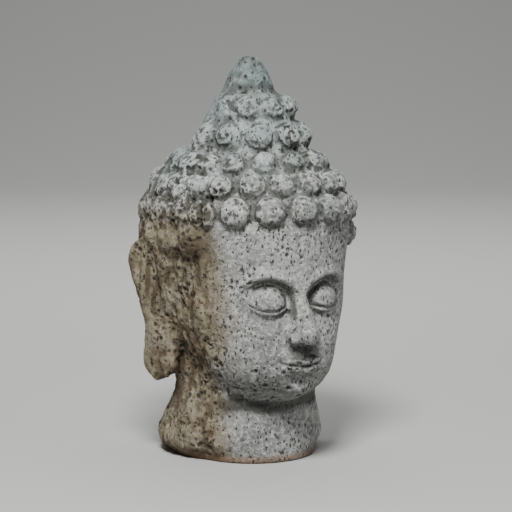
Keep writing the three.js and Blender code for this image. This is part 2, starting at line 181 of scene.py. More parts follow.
def ramp(t, start, end):
    """0 before start and 1 after end, smoothly; start may be above end."""
    s = np.clip((t - start) / (end - start), 0, 1)
    return s * s * (3 - 2 * s)


def hump(t, width):
    return np.exp(-((t / width) ** 2))


def smooth_min(a, b, k):
    h = np.clip(0.5 + 0.5 * (b - a) / k, 0, 1)
    return b + (a - b) * h - k * h * (1 - h)


def smooth_max(a, b, k):
    return -smooth_min(-a, -b, k)


def length(*parts):
    return np.sqrt(sum(part * part for part in parts))


def ellipsoid(p, centre, radii):
    q = [a - c for a, c in zip(p, centre)]
    near = length(*[a / r for a, r in zip(q, radii)])
    slope = length(*[a / r**2 for a, r in zip(q, radii)])
    return near * (near - 1) / np.maximum(slope, 1e-9)


def tapered_rod(p, start, end, start_radius, end_radius):
    line = [b - a for a, b in zip(start, end)]
    t = sum((q - a) * d for q, a, d in zip(p, start, line)) / sum(d * d for d in line)
    t = np.clip(t, 0, 1)
    gap = length(*[q - a - d * t for q, a, d in zip(p, start, line)])
    return gap - (start_radius + (end_radius - start_radius) * t)


# ---- The face's relief, in millimetres over the plain head ---------------------------------------


def brow_and_socket(v, z):
    under = 1.14 * EYE - length(v - 1.03 * EYE, z - EYE_Z + 17)
    over = ramp(z - EYE_Z + 4, -8, 8)
    fade = 1 - 0.55 * ramp(v, 1.2 * EYE, 1.9 * EYE)
    ridge = 2.2 * hump(under + 2.2, 4.5) * over * fade
    aside = ramp(v, 2.15 * EYE, 1.3 * EYE)
    socket = 6.0 * ramp(under, -1.5, 7) * ramp(z - EYE_Z + 8, -30, 8) * aside
    inner_corner = 4.0 * hump(length(v - 0.42 * EYE, (z - EYE_Z - 3) / 1.5), 8)
    return ridge - socket - inner_corner


def closed_eye(v, z):
    """A lid drawn down over the eye to a ledge at the lashes, with a narrow lid under it."""
    w = (v - EYE) / 22
    up = z - EYE_Z + 3.5 - 1.2 * w
    out = length(w, up / np.where(up > 0, 20, 14))
    ball = 8.0 * np.clip(1 - out**2, 0, 1)
    lash = up + 5.0 - 6.0 * w**2
    inside = ramp(np.abs(w), 1.05, 0.75)
    lid = 1.8 * inside * ramp(lash, -0.6, 0.6) * ramp(lash, 18, 4)
    slit = 1.4 * inside * hump(lash + 1.2, 1.2)
    lower = 1.2 * inside * hump(lash + 4.0, 1.8)
    fold = 0.8 * hump(20 * (out - 0.98), 1.8) * ramp(up, 2, 9)
    return ball + lid - slit + lower - fold


def muzzle(v, z):
    swell = 4 * hump(v, 25) * hump(z - MOUTH_Z - 3, 15)
    philtrum = 2.0 * hump(v, 3.2) * hump(z - MOUTH_Z - 15, 6)
    return swell - philtrum


def lips(v, z):
    half = 0.68 * EYE
    w = np.clip(v / half, 0, 1)
    w_low = np.clip(v / (0.86 * half), 0, 1)
    mouth = MOUTH_Z + 1.5 + 2.2 * w**2 - 1.3 * hump(v, 5)
    top = mouth + 10 * (1 - w**1.7) ** 0.8 - 1.5 * hump(v, 3.5)
    bottom = mouth - 10.5 * (1 - w_low**2) ** 0.8
    over = np.clip((z - mouth) / np.maximum(top - mouth, 0.4), 0, 1)
    under = np.clip((mouth - z) / np.maximum(mouth - bottom, 0.4), 0, 1)
    upper = 6.0 * over**0.5 * (1 - over**2) ** 0.9 * (1 - w**2) ** 0.6
    lower = 6.2 * under**0.5 * (1 - under**2) ** 0.9 * (1 - w_low**2) ** 0.6
    parting = 2.0 * hump(z - mouth, 1.2) * ramp(v, half + 3, half - 3)
    dimple = 2.2 * hump(length(v - half - 1, z - MOUTH_Z - 4), 5)
    crease = 2.8 * hump(v, 15) * hump(z - CREASE_Z + 3, 4.5)
    return upper + lower - parting - dimple - crease


def chin_and_cheeks(v, z):
    chin = 6.5 * hump(v, 17) * hump(z - CHIN_Z - 14, 11)
    cheek = 3.5 * hump(v - 1.3 * EYE, 22) * hump(z - NOSE_BASE_Z - 10, 22)
    return chin + cheek


def face_relief(p):
    x, y, z = p
    v = np.abs(FACE_R * np.arctan2(x, FACE_AXIS_Y - y))
    forms = brow_and_socket, closed_eye, muzzle, lips, chin_and_cheeks
    return ramp(y, -10, -45) * sum(form(v, z) for form in forms)


# ---- The main forms ------------------------------------------------------------------------------


def head_form(p):
    skull = ellipsoid(p, *SKULL)
    face = ellipsoid(p, *FACE)
    jaw = ellipsoid(p, *JAW)
    return smooth_min(smooth_min(skull, face, SKULL_BLEND), jaw, JAW_BLEND)


def neck_form(p):
    x, y, z = p
    bevel = NECK["bevel"] * np.clip(1 - z / NECK["bevel_z"], 0, 1) ** 2
    radius = NECK["radius"] + NECK["flare"] * (1 - ramp(z, 12, NECK["flare_top"])) - bevel
    axis_y = -NECK["lean"] * ramp(z, 11, 96)
    return smooth_max(0.93 * (length(x, y - axis_y) - radius), z - NECK["top"], 10)


def nose_form(p):
    x, y, z = p
    q = (np.abs(x), y, z)
    base = NOSE_BASE_Z
    bridge = tapered_rod(q, (0, -112, base + 62), (0, -135, base + 15), 6, 8)
    flank = tapered_rod(q, (0, -104, base + 55), (0, -119, base + 12), 8, 14.5)
    tip = ellipsoid(q, (0, -136.5, base + 10.5), (9.5, 10.5, 9))
    wing = ellipsoid(q, (10.5, -125.5, base + 8), (7.2, 11, 7))
    whole = smooth_min(smooth_min(bridge, flank, 8), tip, 6)
    whole = smooth_min(whole, wing, 5)
    whole = smooth_max(whole, base + 1 - z, 1.5)
    nostril = ellipsoid(q, (6.2, -131, base), (3.6, 6.5, 4))
    return smooth_max(whole, -nostril, 1.2)


def ear_form(p):
    """a runs backwards along the ear, b up, c outwards; s runs down its spine from 0 to 1."""
    x, y, z = p
    turn, top, run = EAR["turn"], EAR["spine_top"], EAR["spine_length"]
    side, back = np.abs(x) - EAR["centre"][0], y - EAR["centre"][1]
    a = side * np.sin(turn) + back * np.cos(turn)
    c = side * np.cos(turn) - back * np.sin(turn)
    b = z - EAR["centre"][2]
    s = np.clip((top - b) / run, 0, 1)
    narrower = EAR["top_radius"] - EAR["lobe_radius"]
    radius = EAR["top_radius"] - narrower * ramp(s, 0, 1) - EAR["waist"] * np.sin(np.pi * s) ** 2
    forward = EAR["bend"] * np.sin(np.pi * s)
    edge = length(a + forward + EAR["lobe_forward"] * s, b - top + run * s) - radius
    taper = 0.5 * np.clip(-c, 0, 60)
    thick = EAR["thick"] + EAR["lobe_thick"] * ramp(s, 0.5, 1)
    c = c + EAR["lobe_inward"] * ramp(s, 0.15, 1)
    plate = smooth_max(edge + taper, c - thick, 11)
    plate = smooth_max(plate, -c - EAR["root_depth"], 4)
    on_face = (a, b, c - thick)
    plate = smooth_max(plate, -ellipsoid(on_face, *EAR["shell"]), 4)
    plate = smooth_min(plate, tapered_rod((a, b, c), *EAR["ridge"]), 4)
    plate = smooth_max(plate, -ellipsoid(on_face, *EAR["hollow"]), 4)
    return smooth_min(plate, ellipsoid(on_face, *EAR["lobe"]), 5)


def ushnisha_form(p):
    x, y, z = p
    r = length(x, y - USHNISHA["y"])
    behind = ramp((y - USHNISHA["y"]) / np.maximum(r, 1), -0.35, 0.45)
    front = np.interp(z, USHNISHA["z"], USHNISHA["front"])
    back = np.interp(z, USHNISHA["z"], USHNISHA["back"])
    cone = smooth_max(0.85 * (r - front - (back - front) * behind), z - USHNISHA["top"], 9)
    lean = FINIAL["lean"] * (z - FINIAL["lean_z"])
    radius = np.interp(z, FINIAL["z"], FINIAL["radius"])
    knob = 0.85 * (length(x, 0.95 * (y - FINIAL["y"] + lean)) - radius)
    return smooth_min(cone, smooth_max(knob, z - HEIGHT, 3), 4)


def bare_head(p):
    """What the curls sit on."""
    return smooth_min(smooth_min(head_form(p), neck_form(p), NECK_BLEND), ushnisha_form(p), 6)


def carved_head(p):
    """The head without its curls."""
    d = smooth_min(head_form(p), neck_form(p), NECK_BLEND) - face_relief(p)
    d = smooth_min(d, nose_form(p), 4)
    d = smooth_min(d, ear_form(p), 12)
    d = smooth_min(d, ushnisha_form(p), 6)
    return smooth_max(d, -p[2], 1.5)


# ---- Curls ---------------------------------------------------------------------------------------


def cast(form, start, way, reach=190.0, count=381):
    """The outermost point of a form along each ray."""
    t = np.linspace(0, reach, count)
    points = [s[:, None] + w[:, None] * t for s, w in zip(start, way)]
    d = form([q.ravel() for q in points]).reshape(points[0].shape)
    last = count - 1 - np.argmax((d < 0)[:, ::-1], axis=1)
    last = np.clip(last, 0, count - 2)
    i = np.arange(len(last))
    share = d[i, last] / (d[i, last] - d[i, last + 1])
    return [s + w * (t[last] + t[1] * share) for s, w in zip(start, way)]


def normals_of(form, p, e=0.6):
    slope = []
    for axis in range(3):
        ahead = [q + (e if i == axis else 0) for i, q in enumerate(p)]
        behind = [q - (e if i == axis else 0) for i, q in enumerate(p)]
        slope.append(form(ahead) - form(behind))
    size = length(*slope)
    return [q / size for q in slope]


def wear(azimuth):
    """How far the weather has flattened the carving at an azimuth, 0 crisp to 1 gone."""
    return 0.9 * ramp(azimuth, -48, -72) + 0.35 * ramp(azimuth, 60, 130)


def curl_seats():
    """Azimuth, latitude, start of the ray and radius of every curl."""
    seats = []
    for latitude, drop, shift, first, radius, count in CURL_ROWS:
        for i in range(count):
            azimuth = ((i + shift) * 360 / count + 180) % 360 - 180
            if abs(azimuth) >= first:
                lower = drop * (1 - np.cos(np.radians(azimuth))) / 2
                seats.append((azimuth, latitude - lower, HAIR_CENTRE, radius))
    for z, azimuths, radius in CURL_TIERS:
        seats += [(azimuth, 0.0, (0.0, USHNISHA["y"], z), radius) for azimuth in azimuths]
    return seats


def make_curls():
    seats = curl_seats()
    azimuth = np.array([seat[0] for seat in seats], float)
    az, lat = np.radians(azimuth), np.radians([seat[1] for seat in seats])
    way = [np.sin(az) * np.cos(lat), -np.cos(az) * np.cos(lat), np.sin(lat)]
    start = list(np.array([seat[2] for seat in seats]).T)
    point = cast(bare_head, start, way)
    normal = normals_of(bare_head, point)
    worn = wear(azimuth)
    return [
        {
            "point": np.array([q[i] for q in point]),
            "normal": np.array([q[i] for q in normal]),
            "radius": seats[i][3] * random.uniform(0.96, 1.04),
            "height": seats[i][3] * (CURL_HEIGHT - 0.25 * worn[i]) * random.uniform(0.94, 1.06),
            "crisp": (1 - worn[i]) * (0.35 + 0.85 * random.random() ** 2),
            "blend": 2.8 + 5.5 * worn[i],
            "hand": 1 if azimuth[i] < 0 else -1,
            "turn": random.uniform(0, 2 * np.pi),
        }
        for i in range(len(seats))
    ]


CURLS = make_curls()


def curl_form(curl, points):
    """A squashed ball with a snail's groove round it and a knob in the middle."""
    q = points - curl["point"]
    rise = q @ curl["normal"]
    across = np.cross((0, 0, 1.0), curl["normal"])
    across /= np.linalg.norm(across)
    u, v = q @ across, q @ np.cross(curl["normal"], across)
    spread = np.hypot(u, v)
    radius, crisp = curl["radius"], curl["crisp"]
    ball = ellipsoid((spread, 0, rise + CURL_SINK), (0, 0, 0), (radius, radius, curl["height"]))
    winding = 2 * np.pi * spread / (SWIRL_PITCH * radius)
    swirl = np.cos(np.arctan2(v, u) * curl["hand"] + winding + curl["turn"])
    ring = ramp(spread / radius, 0.12, 0.35) * ramp(spread / radius, 1.05, 0.8)
    knob = hump(spread, 0.22 * radius)
    return ball - crisp * (SWIRL_DEPTH * swirl * ring + knob)


def sculpture(p):
    d = carved_head(p)
    points = np.stack(p, 1)
    for curl in CURLS:
        reach = curl["radius"] + 6
        near = np.flatnonzero((np.abs(points - curl["point"]) < reach).all(1))
        d[near] = smooth_min(d[near], curl_form(curl, points[near]), curl["blend"])
    return d


# ---- Meshing the field ---------------------------------------------------------------------------


def upsample(values, factor):
    """A grid of values, made finer by straight interpolation along each axis."""
    for axis in range(3):
        size = values.shape[axis]
        i = np.arange((size - 1) * factor + 1)
        before = np.minimum(i // factor, size - 2)
        share = (i / factor - before).reshape([-1 if k == axis else 1 for k in range(3)])
        values = np.take(values, before, axis) * (1 - share) + np.take(values, before + 1, axis) * share
    return values


def field_grid(field, corner, opposite):
    """The field on a grid of CELL, worked out afresh only near its surface."""
    step = CELL * REFINE
    counts = np.ceil((np.array(opposite) - corner) / step).astype(int) + 1
    axes = [corner[i] + step * np.arange(counts[i]) for i in range(3)]
    mesh = np.meshgrid(*axes, indexing="ij")
    values = field([m.ravel() for m in mesh]).reshape(mesh[0].shape)
    for band in (1.8 * step, 0.9 * step):
        step /= 2
        values = upsample(values, 2)
        near = np.abs(values) < band
        where = np.argwhere(near)
        points = np.array(corner) + step * where
        values[near] = field(list(points.T))
    return values


def surface_nets(values):
    """Quads of a grid's zero surface: one vertex in each cell that it crosses."""
    inside = values < 0
    cells = np.array(values.shape) - 1
    corners = [(i, j, k) for i in (0, 1) for j in (0, 1) for k in (0, 1)]
    full = sum(
        inside[i : i + cells[0], j : j + cells[1], k : k + cells[2]].astype(np.int8)
        for i, j, k in corners
    )
    mixed = (full > 0) & (full < 8)
    where = np.argwhere(mixed)
    index = np.full(tuple(cells), -1, np.int32)
    index[mixed] = np.arange(len(where))
    total, hits = np.zeros((len(where), 3)), np.zeros(len(where))
    for corner in corners:
        for axis in range(3):
            if corner[axis]:
                continue
            first = where + corner
            other = first + np.eye(3, dtype=int)[axis]
            a, b = values[tuple(first.T)], values[tuple(other.T)]
            cross = (a < 0) != (b < 0)
            point = np.tile(np.array(corner, float), (cross.sum(), 1))
            point[:, axis] += a[cross] / (a[cross] - b[cross])
            total[cross] += point
            hits[cross] += 1
    quads = []
    for axis in range(3):
        head = [slice(None)] * 3
        tail = [slice(None)] * 3
        head[axis], tail[axis] = slice(None, -1), slice(1, None)
        edges = np.argwhere(inside[tuple(head)] != inside[tuple(tail)])
        u, v = np.eye(3, dtype=int)[(axis + 1) % 3], np.eye(3, dtype=int)[(axis + 2) % 3]
        ring = [index[tuple((edges - shift).T)] for shift in (u + v, v, 0 * u, u)]
        quad = np.stack(ring, 1)
        outward = ~inside[tuple(edges.T)]
        quad[outward] = quad[outward][:, ::-1]
        quads.append(quad)
    return where + total / hits[:, None], np.concatenate(quads)


# ---- Weathering ----------------------------------------------------------------------------------


def noise(points, size, seed):
    """Smooth noise from -1 to 1 whose lumps are about size across; size may be one per axis."""
    q = points / np.asarray(size, float) + seed * 17.31
    base = np.floor(q).astype(np.int64)
    f = q - base
    f = f * f * f * (f * (f * 6 - 15) + 10)
    total = np.zeros(len(points))
    for i in (0, 1):
        for j in (0, 1):
            for k in (0, 1):
                c = base + (i, j, k)
                hashed = (c[:, 0] * 73856093) ^ (c[:, 1] * 19349663) ^ (c[:, 2] * 83492791)
                hashed = (hashed ^ (hashed >> 13)) * 1274126177 & 0x7FFFFFFF
                value = (hashed >> 8 & 0xFFFF) / 32767.5 - 1
                weight = (f[:, 0] if i else 1 - f[:, 0]) * (f[:, 1] if j else 1 - f[:, 1])
                total += value * weight * (f[:, 2] if k else 1 - f[:, 2])
    return total


def fractal(points, size, seed, octaves=4):
    size = np.asarray(size, float)
    return sum(noise(points, size / 2**i, seed + i) / 2**i for i in range(octaves))


def azimuth_of(points):
    """Degrees round the head's axis from straight ahead, negative on the head's own right."""
    return np.degrees(np.arctan2(points[:, 0], -(points[:, 1] + 18)))


def vertex_normals(points, quads):
    a, b = points[quads[:, 2]] - points[quads[:, 0]], points[quads[:, 3]] - points[quads[:, 1]]
    face = np.cross(a, b)
    total = np.zeros_like(points)
    for i in range(4):
        np.add.at(total, quads[:, i], face)
    return total / np.maximum(np.linalg.norm(total, axis=1, keepdims=True), 1e-9)


def roughness_zones(points):
    """Where the stone has weathered hard: the head's own right side, from the curls to the neck."""
    azimuth, z = azimuth_of(points), points[:, 2]
    side = ramp(azimuth, *WORN_FROM_FRONT) * ramp(azimuth, *WORN_FROM_BACK)
    ear = ramp(-points[:, 0], 94, 104) * ramp(z, 245, 230)
    return side * ramp(z, *WORN_BELOW) * (1 - 0.75 * ear)


def on_curls(points):
    """1 on the curls, 0 on the bare stone."""
    seats = np.array([curl["point"] for curl in CURLS])
    nearest = np.full(len(points), np.inf)
    for seat, curl in zip(seats, CURLS):
        nearest = np.minimum(nearest, np.linalg.norm(points - seat, axis=1) / curl["radius"])
    return ramp(nearest, 1.35, 1.0)


def weathered(points):
    """Lumps, grain and runnels in the worn surface, as millimetres along the normal."""
    rough, hair = roughness_zones(points), on_curls(points)
    lumps = 0.9 * fractal(points, 22, 1, 3)
    grain = 0.4 * fractal(points, 5.5, 5, 3) * (0.8 + 1.3 * rough + 1.3 * hair)
    streaks = (np.abs(noise(points, (7, 7, 34), 11)) - 0.3) * 2.6 * rough
    return lumps * (0.5 + 1.1 * rough), grain + streaks


def scars(points):
    """Holes, cracks and the broken recess under the jaw, 0 to their depth in millimetres."""
    azimuth, z = azimuth_of(points), points[:, 2]
    ragged = 0.4 * fractal(points, 6, 41, 3)
    deepest = np.zeros(len(points))
    for seat_azimuth, seat_z, half_width, half_height, depth in SCARS:
        across = np.radians(azimuth - seat_azimuth) * np.hypot(points[:, 0], points[:, 1] + 18)
        out = length(across / half_width, (z - seat_z) / half_height) + ragged
        deepest = np.maximum(deepest, depth * ramp(out, 1.2, 0.75))
    return deepest


def folds(points):
    """Upright folds in the worn stone between the cheek and the ear."""
    azimuth, z = azimuth_of(points), points[:, 2]
    wave = np.cos(np.radians(azimuth) * 62 + 2.4 * noise(points, (14, 14, 34), 51))
    strength = 1.1 + 1.2 * noise(points, (16, 16, 28), 53)
    return strength * wave * hump(azimuth - FOLD_AZIMUTH, 8) * ramp(z, 118, 142) * ramp(z, 215, 190)


def pitted(points):
    """Pits at random seats, in millimetres: their depth at each point."""
    tree = kdtree.KDTree(len(points))
    for i, point in enumerate(points):
        tree.insert(point, i)
    tree.balance()
    crowd = fractal(points, 30, 21, 2) + 0.9 * roughness_zones(points)
    share = np.clip(crowd + 0.55, 0.04, None) ** 2
    share[points[:, 2] < 4] = 0
    seats = random.choice(len(points), PIT_COUNT, replace=False, p=share / share.sum())
    radii = PIT_RADIUS + PIT_RADIUS_SPREAD * random.random(PIT_COUNT) ** 3
    ragged = 1 + 0.5 * noise(points, 2.6, 61)
    depth = np.zeros(len(points))
    for seat, radius in zip(seats, radii):
        for _, i, gap in tree.find_range(points[seat], radius):
            depth[i] = max(depth[i], PIT_DEPTH * radius * (1 - ragged[i] * (gap / radius) ** 2))
    return depth


# ---- Building the piece --------------------------------------------------------------------------


def stone_mesh(points, quads):
    mesh = bpy.data.meshes.new("stone_head")
    mesh.vertices.add(len(points))
    mesh.vertices.foreach_set("co", (points * UNIT).astype(np.float32).ravel())
    mesh.loops.add(quads.size)
    mesh.loops.foreach_set("vertex_index", quads.astype(np.int32).ravel())
    mesh.polygons.add(len(quads))
    mesh.polygons.foreach_set("loop_start", np.arange(0, quads.size, 4, dtype=np.int32))
    mesh.polygons.foreach_set("loop_total", np.full(len(quads), 4, np.int32))
    mesh.update(calc_edges=True)
    return mesh


def set_attribute(mesh, name, values):
    attribute = mesh.attributes.get(name) or mesh.attributes.new(name, "FLOAT", "POINT")
    attribute.data.foreach_set("value", values.astype(np.float32))


def decimated(stone, triangles):
    """The piece's mesh with its flat stretches simplified to that many triangles."""
    modifier = stone.modifiers.new("fewer", "DECIMATE")
    modifier.ratio = min(1.0, triangles / (2 * len(stone.data.polygons)))
    evaluated = stone.evaluated_get(bpy.context.evaluated_depsgraph_get())
    mesh = bpy.data.meshes.new_from_object(evaluated)
    stone.modifiers.clear()
    return mesh


def occlusion(points, normals, reaches):
    """How closed in a point is, from how little the field opens up along its normal."""
    total = np.zeros(len(points))
    for reach in reaches:
        ahead = points + normals * reach
        total += np.clip(1 - sculpture(list(ahead.T)) / reach, 0, 1)
    return total / len(reaches)


def paint_masks(mesh):
    """Point attributes that the stone material mixes its colours by."""
    count = len(mesh.vertices)
    points, normals = np.empty(count * 3, np.float32), np.empty(count * 3, np.float32)
    mesh.vertices.foreach_get("co", points)
    mesh.vertex_normals.foreach_get("vector", normals)
    points = points.reshape(-1, 3).astype(float) / UNIT
    normals = normals.reshape(-1, 3).astype(float)
    azimuth, z = azimuth_of(points), points[:, 2]
    drift = 9 * fractal(points, 40, 31, 3)
    round_front = np.abs(azimuth)

    # Dirt and painted shade in creases and hollows: weaker round the eyes and nose, stronger at the
    # mouth and between the curls.
    face = ramp(round_front, 68, 52) * ramp(z, 110, 120) * ramp(z, 240, 222)
    mouth = hump(azimuth, 26) * hump(z - MOUTH_Z + 4, 16)
    crease_darkening = 1 - 0.7 * face + 0.9 * mouth + 0.7 * ramp(z, *HAIR_ABOVE)
    set_attribute(mesh, "crease", crease_darkening * occlusion(points, normals, (1.5, 3.5)))
    set_attribute(mesh, "hollow", crease_darkening * occlusion(points, normals, (6, 14)))
    # Painted shade where the stone is closed in at a wide reach, as on the neck under the jaw.
    set_attribute(mesh, "painted_shelter_shade", occlusion(points, normals, (24, 38)))
    # Painted shade on what faces down, less of it on the face.
    set_attribute(mesh, "painted_underside_shade", ramp(normals[:, 2], 0.15, -0.7) * (1 - 0.8 * face))
    # Painted shadow in a band on the neck under the jaw, and a darker patch at the temple.
    jaw_line = z - JAW_SHADOW_Z + 0.4 * drift - 0.03 * round_front
    jaw = hump(jaw_line, JAW_SHADOW_SPREAD) * ramp(round_front, 72, 45)
    temple = hump(azimuth - TEMPLE[0], TEMPLE_SPREAD[0]) * hump(z - TEMPLE[1], TEMPLE_SPREAD[1])
    set_attribute(mesh, "painted_jaw_shadow_and_dark_temple", np.maximum(jaw, 0.7 * temple))

    # Patches of another colour.
    side = ramp(azimuth + drift, *EARTH_FROM_FRONT) * ramp(azimuth, *EARTH_FROM_BACK)
    behind = ramp(round_front, *EARTH_BEHIND) * 0.45
    set_attribute(mesh, "ochre", np.maximum(side, behind) * ramp(z + drift, *EARTH_BELOW))
    set_attribute(mesh, "cool", 0.6 * ramp(z + 2 * drift, *CROWN_ABOVE) + 0.4 * ramp(z, *KNOB_ABOVE))
    set_attribute(mesh, "stain", ramp(z + drift, *STAIN_ABOVE))
    set_attribute(mesh, "foot", ramp(z + 0.15 * drift, *FOOT_BELOW))


def inside_box(points):
    """The points, each moved to the edge of the solid's own box where it lies outside."""
    least, most = np.array(low) / UNIT, np.array(high) / UNIT
    return np.clip(points, least, most)


def make_stone():
    corner = np.array([-132.0, -168.0, -MARGIN])
    opposite = np.array([132.0, 124.0, HEIGHT + MARGIN])
    points, quads = surface_nets(field_grid(sculpture, corner, opposite))
    points = corner + CELL * points
    normals = vertex_normals(points, quads)
    keep_foot = ramp(points[:, 2], 2, 9)
    lumps, grain = weathered(points)
    pits, lost = pitted(points), scars(points)
    moved = (lumps + grain + folds(points) - pits - lost) * keep_foot
    points = inside_box(points + normals * moved[:, None])
    mesh = stone_mesh(points, quads)
    set_attribute(mesh, "pit", np.clip(np.maximum(pits, 0.1 * lost), 0, 1) * keep_foot)
    set_attribute(mesh, "low", ramp(-grain, 0, 0.8) * keep_foot)
    stone = bpy.data.objects.new("stone_head", mesh)
    bpy.context.scene.collection.objects.link(stone)
    stone.data = decimated(stone, TRIANGLES)
    stone.data.name = "stone_head"
    stone.data.polygons.foreach_set("use_smooth", np.ones(len(stone.data.polygons), bool))
    paint_masks(stone.data)
    return stone


# ---- The stone's material ------------------------------------------------------------------------


class Nodes:
    """Short names for adding and joining shader nodes."""

    def __init__(self, material):
        self.tree = material.node_tree
        self.tree.nodes.clear()

    def add(self, kind, inputs=(), **settings):
        node = self.tree.nodes.new("ShaderNode" + kind)
        for key, value in settings.items():
            setattr(node, key, value)
        for name, value in dict(inputs).items():
            if isinstance(value, bpy.types.NodeSocket):
                self.tree.links.new(value, node.inputs[name])
            else:
                node.inputs[name].default_value = value
        return node

    def attribute(self, name):
        return self.add("Attribute", attribute_name=name).outputs["Fac"]

    def ramp(self, value, start, end, low=0.0, high=1.0):
        inputs = {"Value": value, "From Min": start, "From Max": end, "To Min": low, "To Max": high}
        node = self.add("MapRange", inputs, interpolation_type="SMOOTHSTEP")
        return node.outputs["Result"]

    def math(self, operation, a, b):
        return self.add("Math", {0: a, 1: b}, operation=operation).outputs[0]

    def mix(self, share, a, b, blend="MIX"):
        node = self.add("Mix", data_type="RGBA", blend_type=blend)
        for socket, value in ((0, share), (6, a), (7, b)):
            if isinstance(value, bpy.types.NodeSocket):
                self.tree.links.new(value, node.inputs[socket])
            else:
                node.inputs[socket].default_value = value
        return node.outputs[2]

    def noise(self, where, size, detail=4.0, rough=0.55):
        inputs = {"Vector": where, "Scale": 1 / size, "Detail": detail, "Roughness": rough}
        return self.add("TexNoise", inputs).outputs["Fac"]

    def cells(self, where, size):
        return self.add("TexVoronoi", {"Vector": where, "Scale": 1 / size})


PLAIN, PLAIN_CLOUD = (0.36, 0.36, 0.345, 1), (0.21, 0.215, 0.205, 1)
GRAIN_PALE, GRAIN_DARK = (0.68, 0.68, 0.655, 1), (0.10, 0.10, 0.095, 1)
CROWN_GREEN, KNOB_STAIN = (0.22, 0.285, 0.285, 1), (0.085, 0.105, 0.10, 1)
EARTH, EARTH_CLOUD, EARTH_RED = (0.27, 0.24, 0.165, 1), (0.165, 0.142, 0.09, 1), (0.22, 0.145, 0.085, 1)
EARTH_GRAIN_PALE, EARTH_GRAIN_DARK = (0.46, 0.42, 0.32, 1), (0.09, 0.072, 0.045, 1)
FOOT_BROWN = (0.20, 0.115, 0.06, 1)
# Dark colour of the painted shade and of the dirt, grey and on the ochre side.
SHADE_AND_DIRT, EARTH_SHADE_AND_DIRT = (0.055, 0.058, 0.05, 1), (0.085, 0.06, 0.037, 1)
SPECK = (0.035, 0.035, 0.03, 1)
FLOOR_GREY = (0.48, 0.48, 0.47, 1)

# How painted shade and dirt build up: the attribute, its values where the darkening starts and is full,
# and its share.
SHADE_AND_DIRT_COATS = (
    ("painted_shelter_shade", 0.22, 0.58, 0.8),
    ("hollow", 0.2, 0.75, 0.7),
    ("crease", 0.2, 0.7, 0.75),
    ("painted_jaw_shadow_and_dark_temple", 0.0, 0.9, 0.9),
)
# Width of a cell, radius of its spot as a share of it, and the share of cells with a spot.
SPECKS = (
    (0.0029, 0.33, 0.28, 0.85),
    (0.0045, 0.29, 0.18, 0.62),
    (0.0090, 0.22, 0.04, 0.30),
)


